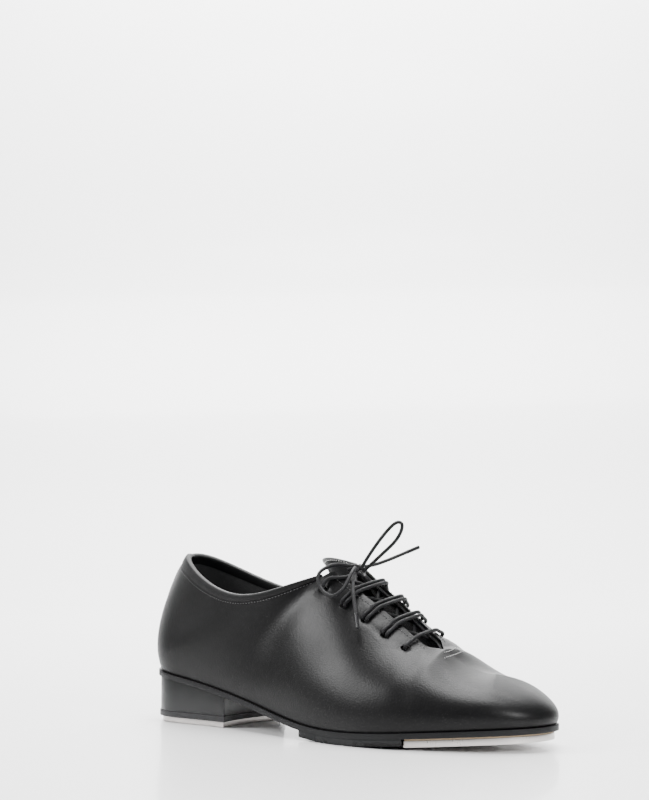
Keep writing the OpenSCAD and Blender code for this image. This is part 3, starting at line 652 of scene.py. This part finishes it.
def wall_shell(name, n, m, off_out, off_in, mat, relief_on):
    sd, u = wall_columns(n)
    count = len(u)
    half = count * (m + 1)
    j = np.linspace(0, 1, m + 1)
    S, U = np.repeat(sd[:, None], m + 1, 1), np.repeat(u[:, None], m + 1, 1)
    V = v_max(U) * j[None]
    base = wall_pt(S, U, V)
    nrm = wall_normal(S, U, V)
    extra = relief(S, U, V, base) if relief_on else 0.0
    outer = base + nrm * (off_out + extra)[..., None] if relief_on else base + nrm * off_out
    inner = base + nrm * off_in
    pts = np.concatenate([outer.reshape(-1, 3), inner.reshape(-1, 3)])
    pole = int(math.ceil(n * POLE_U / 4))

    def home(i):
        k = i % count
        if u[k] >= POLE_U:
            return pole
        return count - k if (u[k] >= THROAT_U - 0.001 and k > n) else k

    def at(layer, i, jj):
        return layer * half + (home(i) if jj == m else i % count) * (m + 1) + jj

    faces = []

    def add(*f):
        g = [a for i, a in enumerate(f) if a not in f[:i]]
        if len(g) > 2:
            faces.append(g)
    for i in range(count):
        for jj in range(m):
            add(at(0, i, jj), at(0, i + 1, jj), at(0, i + 1, jj + 1), at(0, i, jj + 1))
            add(at(1, i, jj), at(1, i, jj + 1), at(1, i + 1, jj + 1), at(1, i + 1, jj))
        add(at(0, i, 0), at(1, i, 0), at(1, i + 1, 0), at(0, i + 1, 0))
        if max(u[i], u[(i + 1) % count]) < THROAT_U + 0.001:
            add(at(0, i, m), at(0, i + 1, m), at(1, i + 1, m), at(1, i, m))
    return mesh_object(name, pts, faces, mat, body=None)


def tidy_mesh(obj):
    bm = bmesh.new()
    bm.from_mesh(obj.data)
    loose = [v for v in bm.verts if not v.link_faces]
    bmesh.ops.delete(bm, geom=loose, context="VERTS")
    bmesh.ops.remove_doubles(bm, verts=bm.verts, dist=1e-6)
    bmesh.ops.recalc_face_normals(bm, faces=bm.faces)
    bm.to_mesh(obj.data)
    bm.free()


def cut_eyelets(obj):
    verts, faces = [], []
    sides = 28
    for sd, k, c in EYELETS:
        a, b = skin1(sd, EYELET_U[k], EYELET_V, 4), skin1(sd, EYELET_U[k], EYELET_V, -6)
        t = unit(b - a)
        e1 = unit(np.cross(t, [0.3, 0.1, 1.0]))
        e2 = np.cross(t, e1)
        base = len(verts)
        for q in (a, b):
            for i in range(sides):
                w = 2 * math.pi * i / sides
                verts.append(q + EYELET_D / 2 * (math.cos(w) * e1 + math.sin(w) * e2))
        faces.append([base + i for i in range(sides)][::-1])
        faces.append([base + sides + i for i in range(sides)])
        for i in range(sides):
            faces.append([base + i, base + (i + 1) % sides, base + sides + (i + 1) % sides, base + sides + i])
    cutter = mesh_object("cutter", verts, faces, LEATHER_MAT, body=None, smooth=False)
    tidy_mesh(cutter)
    mod = obj.modifiers.new("holes", "BOOLEAN")
    mod.operation = "DIFFERENCE"
    mod.solver = "EXACT"
    mod.object = cutter
    apply_modifiers(obj)
    data = cutter.data
    bpy.data.objects.remove(cutter)
    bpy.data.meshes.remove(data)


def finish_wall(obj, node, holes=True, round_mm=0.3):
    tidy_mesh(obj)
    if holes:
        cut_eyelets(obj)
    if round_mm:
        mod = obj.modifiers.new("round", "BEVEL")
        mod.width = round_mm * MM
        mod.segments = 2
        mod.limit_method = "ANGLE"
        mod.angle_limit = math.radians(50)
        apply_modifiers(obj)
    smooth_by_angle(obj, 50)
    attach(obj, "shoe")
    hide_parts(node)


fine = 1.0
upper = wall_shell("upper_leather", int(150 * fine), int(48 * fine), 0.0, -LEATHER, LEATHER_MAT, True)
finish_wall(upper, "upper")
lining = wall_shell("lining_cloth", int(90 * fine), int(24 * fine), -LINING_OUT, -LINING_IN, LINING_MAT, False)
finish_wall(lining, "lining", round_mm=0)


def swept_band(name, cols, section, mat, body="shoe", closed=False, cap=True):
    """Loft of a closed section along columns; section(i) gives the ring of points for column i."""
    rings = [section(*c) for c in cols]
    m = len(rings[0])
    verts = [p for r in rings for p in r]
    faces = []
    for i in range(len(rings) - 1):
        for k in range(m):
            faces.append([i * m + k, i * m + (k + 1) % m, (i + 1) * m + (k + 1) % m, (i + 1) * m + k])
    if cap:
        faces.append([k for k in range(m)][::-1])
        faces.append([(len(rings) - 1) * m + k for k in range(m)])
    obj = mesh_object(name, verts, faces, mat, body=None)
    tidy_mesh(obj)
    smooth_by_angle(obj, 50)
    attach(obj, body)
    return obj


def binding_section(sd, u):
    lo = float(v_max(np.array(u))) - 0.004
    lo = min(lo, 0.985)
    out, inn = 0.5, -LINING_IN - 0.45
    top = skin1(sd, u, 1.0, (out + inn) / 2) - skin1(sd, u, 0.97, (out + inn) / 2)
    top = unit(top) * 0.5
    ring = [skin1(sd, u, lo, -0.05), skin1(sd, u, lo + 0.002, out * 0.75), skin1(sd, u, mix(lo, 1, 0.25), out),
            skin1(sd, u, mix(lo, 1, 0.6), out), skin1(sd, u, mix(lo, 1, 0.88), out - 0.1)]
    for a in (0.35, 0.7, 1.05, 1.4, 1.75, 2.1, 2.45, 2.8):
        mid, r = (out + inn) / 2, (out - inn) / 2 - 0.12
        ring.append(skin1(sd, u, 1.0, mid + r * math.cos(a)) + top * (math.sin(a) * 1.6 - 0.4))
    ring += [skin1(sd, u, mix(lo, 1, 0.8), inn + 0.1), skin1(sd, u, mix(lo, 1, 0.4), inn),
             skin1(sd, u, lo + 0.002, inn + 0.15), skin1(sd, u, lo, inn + 0.6)]
    return ring


END_U = CORNER_U - 0.10
steps = 90
binding_cols = [(1 if i < 0 else 0, END_U * abs(i) / steps) for i in range(-steps, steps + 1)]
binding = swept_band("topline_binding_roll", binding_cols, binding_section, BINDING_MAT)
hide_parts("topline_binding")


def strip_section(v, half_u, out, base):
    pts = []
    cols = [(1, half_u), (1, half_u * 0.9), (1, half_u * 0.45), (0, 0.0), (0, half_u * 0.45), (0, half_u * 0.9),
            (0, half_u)]
    for k, (sd, u) in enumerate(cols):
        pts.append(skin1(sd, u, v, base if k in (0, 6) else out))
    for sd, u in cols[::-1]:
        pts.append(skin1(sd, u, v, -0.3))
    return pts


strip_rows = [(v, 0.15 * (1 if v < 0.9 else 1 - 0.5 * (v - 0.9) / 0.05), 0.75, 0.3)
              for v in np.linspace(0.01, 0.947, 50)]
back_strip = swept_band("back_seam_strip", strip_rows, strip_section, LEATHER_MAT)
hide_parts("back_strip")


# ---------------------------------------------------------------- stitching
def stitch_run(name, pts, normals, mat, body, pitch=1.9, dia=0.45, fill=0.68):
    """Separate thread stitches laid along a route, each a short bowed capsule."""
    pts, normals = np.asarray(pts, float), np.asarray(normals, float)
    step = np.linalg.norm(np.diff(pts, axis=0), axis=1)
    s = np.concatenate([[0], np.cumsum(step)])
    verts, faces = [], []
    count = int(s[-1] / pitch)
    rings, sides = 5, 6
    for i in range(count):
        a, b = (i + 0.5 - fill / 2) * pitch, (i + 0.5 + fill / 2) * pitch
        base = len(verts)
        line = []
        for k in range(rings):
            t = mix(a, b, k / (rings - 1))
            p = np.array([np.interp(t, s, pts[:, c]) for c in range(3)])
            n = unit(np.array([np.interp(t, s, normals[:, c]) for c in range(3)]))
            bow = math.sin(math.pi * k / (rings - 1))
            line.append((p + n * dia * (0.42 * bow - 0.12), n, 0.35 + 0.65 * bow))
        d = unit(line[-1][0] - line[0][0])
        for p, n, w in line:
            e = unit(np.cross(d, n))
            for q in range(sides):
                ang = 2 * math.pi * q / sides
                verts.append(p + dia / 2 * w * (math.cos(ang) * e + math.sin(ang) * n))
        for k in range(rings - 1):
            for q in range(sides):
                o, o2 = base + k * sides, base + (k + 1) * sides
                faces.append([o + q, o + (q + 1) % sides, o2 + (q + 1) % sides, o2 + q])
        faces.append([base + q for q in range(sides)][::-1])
        faces.append([base + (rings - 1) * sides + q for q in range(sides)])
    return mesh_object(name, verts, faces, mat, body)


def skin_run(sd, us, vs, off=0.0):
    S, U, V = np.full(len(us), sd), np.asarray(us, float), np.asarray(vs, float)
    n = wall_normal(S, U, V)
    p = wall_pt(S, U, V)
    return p + n * (off + relief(S, U, V, p))[..., None], n


for sd in (0, 1):
    us = np.linspace(0.17, END_U - 0.02, 160)
    p, n = skin_run(sd, us, v_max(us) - 0.022)
    stitch_run(f"topline_stitches_{sd}", p, n, BLACK_THREAD, "shoe")
    us = np.linspace(CORNER_U + 0.01, 2.93, 120)
    p, n = skin_run(sd, us, np.full(120, 0.962))
    stitch_run(f"facing_stitches_{sd}", p, n, BLACK_THREAD, "shoe")
    vs = np.linspace(0.04, 0.9, 90)
    p, n = skin_run(sd, np.full(90, 0.125), vs, 0.62)
    stitch_run(f"back_strip_stitches_{sd}", p, n, BLACK_THREAD, "shoe")

# ---------------------------------------------------------------- tongue
TONGUE = dict(drop=13.4, lift=6.0, base_x=201.0, tip_x=116.0, half_base=9.0, half_tip=14.0, r=30.0, y=-1.0)


def tongue_pt(s, w, off):
    g = TONGUE
    x0 = mix(g["base_x"], g["tip_x"], s)
    x = x0 + 9 * abs(w) ** 2.4 * ramp(0.6, 1, s)
    y = mix(g["half_base"], g["half_tip"], s) * w
    drop = g["r"] - np.sqrt(g["r"] ** 2 - y * y)
    z = (104.2 - 0.675 * (x0 - 110) + 3.9 * ramp(192, 206, x0) - g["drop"] + g["lift"] * ramp(0.88, 1, s))
    return np.stack([x - 0.5 * off, g["y"] + y * (1 + 0.02 * off), z - drop + 0.86 * off], -1)


def tongue_mesh():
    ns, nw = 70, 36
    s = np.linspace(0, 1, ns + 1)[:, None] * np.ones((1, nw + 1))
    w = np.ones((ns + 1, 1)) * np.linspace(-1, 1, nw + 1)[None]
    edge = np.minimum(1, (1 - np.abs(w)) / 0.07)
    edge = np.minimum(edge, np.minimum(1, (1 - s) / 0.025))
    roll = np.sqrt(np.clip(1 - (1 - edge) ** 2, 0, 1))
    seam = np.exp(-((np.abs(w) - 0.74) / 0.03) ** 2) * ramp(0.8, 0.86, s)
    seam = seam + np.exp(-((s - 0.972) / 0.006) ** 2)
    pad = 0.35 * np.sin(math.pi * np.clip((s - 0.1) / 0.9, 0, 1)) * (1 - w ** 2)
    top_off = -1.0 + 1.0 * roll - 0.22 * np.clip(seam, 0, 1) + pad
    low_off = -1.0 - 1.0 * roll
    top, low = tongue_pt(s, w, top_off), tongue_pt(s, w, low_off)
    half = (ns + 1) * (nw + 1)
    verts = np.concatenate([top.reshape(-1, 3), low.reshape(-1, 3)])

    def at(l, i, j):
        return l * half + i * (nw + 1) + j
    faces = []
    for i in range(ns):
        for j in range(nw):
            faces.append([at(0, i, j), at(0, i + 1, j), at(0, i + 1, j + 1), at(0, i, j + 1)])
            faces.append([at(1, i, j), at(1, i, j + 1), at(1, i + 1, j + 1), at(1, i + 1, j)])
        for j in (0, nw):
            faces.append([at(0, i, j), at(1, i, j), at(1, i + 1, j), at(0, i + 1, j)])
    for j in range(nw):
        for i in (0, ns):
            faces.append([at(0, i, j), at(0, i, j + 1), at(1, i, j + 1), at(1, i, j)])
    obj = mesh_object("tongue_leather", verts, faces, LEATHER_MAT, body=None)
    tidy_mesh(obj)
    smooth_by_angle(obj, 60)
    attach(obj, "tongue")
    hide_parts("tongue")


tongue_mesh()
route = ([(a, -0.74) for a in np.linspace(0.87, 0.955, 16)]
         + [(0.955 + 0.017 * math.sin(math.pi / 2 * min(1, (b + 0.74) / 0.1, (0.74 - b) / 0.1)), b)
            for b in np.linspace(-0.72, 0.72, 50)]
         + [(a, 0.74) for a in np.linspace(0.955, 0.87, 16)])
pts = np.array([tongue_pt(np.array(a), np.array(b), np.array(0.0)) for a, b in route])
raised = np.array([tongue_pt(np.array(a), np.array(b), np.array(1.0)) for a, b in route])
nrm = np.array([unit(high - low) for high, low in zip(raised, pts)])
stitches = stitch_run("tongue_edge_stitches", pts, nrm, THREAD_MAT, "tongue", 1.55, 0.42, 0.7)
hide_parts("tongue_stitching")

# ---------------------------------------------------------------- throat bar-tack, a crescent of stitches
def vamp_pt(x, y, off):
    return np.array([x, y, ridge_z(np.array(x)) - crown_drop(y) + off])


tack_rows = []
for x0, bow, reach in ((196.2, 0.035, 8), (199.6, 0.02, 7)):
    tack_rows.append([vamp_pt(x0 - bow * y * y, THROAT_Y + 1 + y, 0.42) for y in np.linspace(-reach, reach, 40)])
tack_rows.append([vamp_pt(x, THROAT_Y + 9, 0.42) for x in np.linspace(194.5, 199.4, 12)])
tack_rows.append([vamp_pt(x, THROAT_Y - 7, 0.42) for x in np.linspace(194.5, 199.2, 12)])
for k, row in enumerate(tack_rows):
    tack = stitch_run(f"throat_tack_{k}", row, [unit(np.array([0.5, 0, 1.0]))] * len(row), THREAD_MAT, "shoe",
                      1.25, 0.4, 0.74)
    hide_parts("throat_bartack")

# ---------------------------------------------------------------- laced run and knot
for name, route, node in (("lace_run_down", LACE_DOWN, "lace_lower"), ("lace_run_up", LACE_RISE, "lace_upper")):
    run = curve_tube(name, soften(spline(route, 6), 3), LACE_D, LACE_MAT)
    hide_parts(node)


def knot_strand(name, offsets, node=None):
    obj = curve_tube(name, soften(spline(KNOT + np.asarray(offsets, float), 8), 2), LACE_D, LACE_MAT)
    if node:
        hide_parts(node)


wrap = [[1.9 * math.cos(a) + 0.2 * a, 1.6 * math.sin(a) * 1.05, 0.9 + 1.5 * math.sin(a + 0.6)]
        for a in np.linspace(-0.6, 5.6, 14)]
knot_strand("knot_wrap", wrap, "knot")
knot_strand("knot_cross", [[-2.8, -3.4, 0.6], [-1.2, -1.8, 1.3], [0.6, 0, 1.0], [1.8, 1.8, 1.4],
                           [3.4, 2.6, 1.6]])
knot_strand("knot_under", [[0, -2.6, -1.4], [0.2, -1, -1.0], [0, 0.6, -1.1], [0, 2.6, -1.4]])
knot_strand("knot_over", [[2.8, 0.8, 1.2], [1.6, 0, 2.4], [0, -1.0, 2.7], [-2, -1.6, 2.6]])

# ---------------------------------------------------------------- hard pieces
RIB_PITCH, RIB_HALF, RIB_RISE = 1.9, 0.32, 0.22   # mm
RIB_ROOT, RIB_TOP = 0.06, 0.6   # how far a rib sinks in, mm, and the width left at its top
BELOW = -0.02   # start of the rays under the sole, m


def tread_ribs(pitch, half, rise):
    """Crossing ribs on the rubber's underside; the rubber behind them is set back by their height."""
    base = bpy.data.objects["rubber_tread"]
    me = base.data
    for v in me.vertices:
        if v.normal.z < -0.6:
            v.co.z += rise * MM
    me.update()
    tree = BVHTree.FromPolygons([base.matrix_world @ v.co for v in me.vertices],
                                [tuple(q.vertices) for q in me.polygons])
    box = np.array([base.matrix_world @ v.co for v in me.vertices]) / MM
    mid, reach = (box.min(0) + box.max(0)) / 2, 60.0
    step, margin = 1.0, 1.3

    def under(x, y):
        hit = tree.ray_cast(Vector((x * MM, y * MM, BELOW)), Vector((0, 0, 1)))
        return hit[0].z / MM if hit[0] is not None and abs(hit[1].z) > 0.6 else None

    verts, faces = [], []
    for sign in (1, -1):
        along = np.array([1, sign]) / math.sqrt(2)
        across = np.array([-sign, 1]) / math.sqrt(2)
        for k in range(-int(reach / pitch), int(reach / pitch) + 1):
            run = []
            for t in np.append(np.arange(-reach, reach, step), np.nan):
                q = mid[:2] + across * k * pitch + along * (0 if np.isnan(t) else t)
                z = None if np.isnan(t) else under(*q)
                if z is not None:
                    ring = [under(q[0] + margin * a, q[1] + margin * b)
                            for a, b in ((1, 0), (-1, 0), (0, 1), (0, -1))]
                    if any(w is None for w in ring):
                        z = None
                if z is not None:
                    run.append((q[0], q[1], z))
                    continue
                if len(run) >= 3:
                    base_i = len(verts)
                    for x, y, zz in run:
                        for side, h in ((-1, RIB_ROOT), (-RIB_TOP, -rise), (RIB_TOP, -rise), (1, RIB_ROOT)):
                            verts.append((x + across[0] * half * side, y + across[1] * half * side, zz + h))
                    for i in range(len(run) - 1):
                        for j in range(4):
                            a, b = base_i + 4 * i + j, base_i + 4 * i + (j + 1) % 4
                            faces.append([a, b, b + 4, a + 4])
                    faces.append([base_i + j for j in (3, 2, 1, 0)])
                    faces.append([base_i + 4 * (len(run) - 1) + j for j in range(4)])
                run = []
    obj = raw_object("tread_ribs", verts, faces, TREAD_MAT)
    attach(obj, "shoe")


def raw_object(name, verts, faces, mat):
    me = bpy.data.meshes.new(name)
    me.from_pydata([tuple(c * MM for c in v) for v in verts], [], faces)
    me.materials.append(mat)
    obj = bpy.data.objects.new(name, me)
    bpy.context.scene.collection.objects.link(obj)
    return obj


bevelled("outsole_edge", "outsole", 0.5, SOLE_MAT)
bevelled("rubber_tread", "rubber_forepart", 0.35, TREAD_MAT, 2)
tread_ribs(RIB_PITCH, RIB_HALF, RIB_RISE)
bevelled("sounding_board", "toe_tap_board", 0.15, BOARD_MAT, 2)
bevelled("toe_tap_plate", "toe_tap", 0.55, TAP_MAT)
bevelled("heel_tap_plate", "heel_tap", 0.6, TAP_MAT)
bevelled("heel_cover", "heel_block", 0.45, HEEL_MAT)
bevelled("heel_lift_band", "heel_lift", 0.5, LIFT_MAT)
bevelled("sock_pad", "sock_liner", 0.4, SOCK_MAT, 2)
for n in ("toe_screw_outer", "toe_screw_inner", "toe_screw_front", "heel_screw_back", "heel_screw_outer",
          "heel_screw_inner"):
    bevelled(n + "_head", n, 0.22, SCREW_MAT, 2)
for n, mat in (("aglet_ahead", AGLET_MAT), ("aglet_down", AGLET_MAT), ("insole_board", BOARD_MAT),
               ("steel_shank", STEEL_MAT), ("heel_nails", STEEL_MAT), ("heel_counter", BOARD_MAT),
               ("toe_puff", BOARD_MAT), ("stay_outer", STAY_MAT), ("stay_inner", STAY_MAT)):
    me = frame["nodes"][n].data
    me.materials.clear()
    me.materials.append(mat)


# ---------------------------------------------------------------- stage and lights
def backdrop():
    m = Mat("backdrop", (0.93, 0.93, 0.93), 0.35, Specular_IOR_Level=0.5, Coat_Weight=0.25,
            Coat_Roughness=0.08)
    m.tint(m.noise(3, 2), (0.92, 0.92, 0.92), (0.94, 0.94, 0.94))
    prof = [(-1.6, 0.0), (1.3, 0.0)]
    prof += [(1.3 + 0.6 * math.sin(a), 0.6 - 0.6 * math.cos(a)) for a in np.linspace(0.05, math.pi / 2, 14)]
    prof += [(1.9, 3.2)]
    side = math.radians(39.24)
    fwd, right = np.array([-math.sin(side), math.cos(side)]), np.array([math.cos(side), math.sin(side)])
    verts, faces = [], []
    for d, z in prof:
        for w in (-2.6, 2.6):
            q = fwd * d + right * w
            verts.append((q[0], q[1], z - 0.0002))
    for i in range(len(prof) - 1):
        faces.append([2 * i, 2 * i + 1, 2 * i + 3, 2 * i + 2])
    me = bpy.data.meshes.new("floor")
    me.from_pydata(verts, [], faces)
    me.polygons.foreach_set("use_smooth", [True] * len(me.polygons))
    me.materials.append(m.mat)
    obj = bpy.data.objects.new("floor", me)
    bpy.context.scene.collection.objects.link(obj)


def area(name, place, aim, size, power, color=(1, 1, 1)):
    data = bpy.data.lights.new(name, "AREA")
    data.shape = "RECTANGLE"
    data.size, data.size_y = size
    data.energy = power
    data.color = color
    obj = bpy.data.objects.new(name, data)
    obj.location = place
    obj.rotation_euler = (Vector(aim) - Vector(place)).to_track_quat("-Z", "Y").to_euler()
    bpy.context.scene.collection.objects.link(obj)


def lights():
    world = bpy.data.worlds.new("world")
    world.use_nodes = True
    world.node_tree.nodes["Background"].inputs[0].default_value = (1, 1, 1, 1)
    world.node_tree.nodes["Background"].inputs[1].default_value = 0.36
    bpy.context.scene.world = world
    area("key_left", (-0.75, -0.75, 0.75), (-0.05, 0, 0.04), (0.35, 0.6), 17)
    area("toe_right", (0.95, -0.25, 0.55), (0.08, 0, 0.03), (0.28, 0.4), 9)
    area("top", (0.0, 0.1, 1.3), (0, 0, 0), (0.7, 0.6), 24)
    area("wall", (-0.6, 0.75, 1.6), (-1.1, 1.5, 0.6), (1.6, 0.8), 120)


backdrop()
lights()
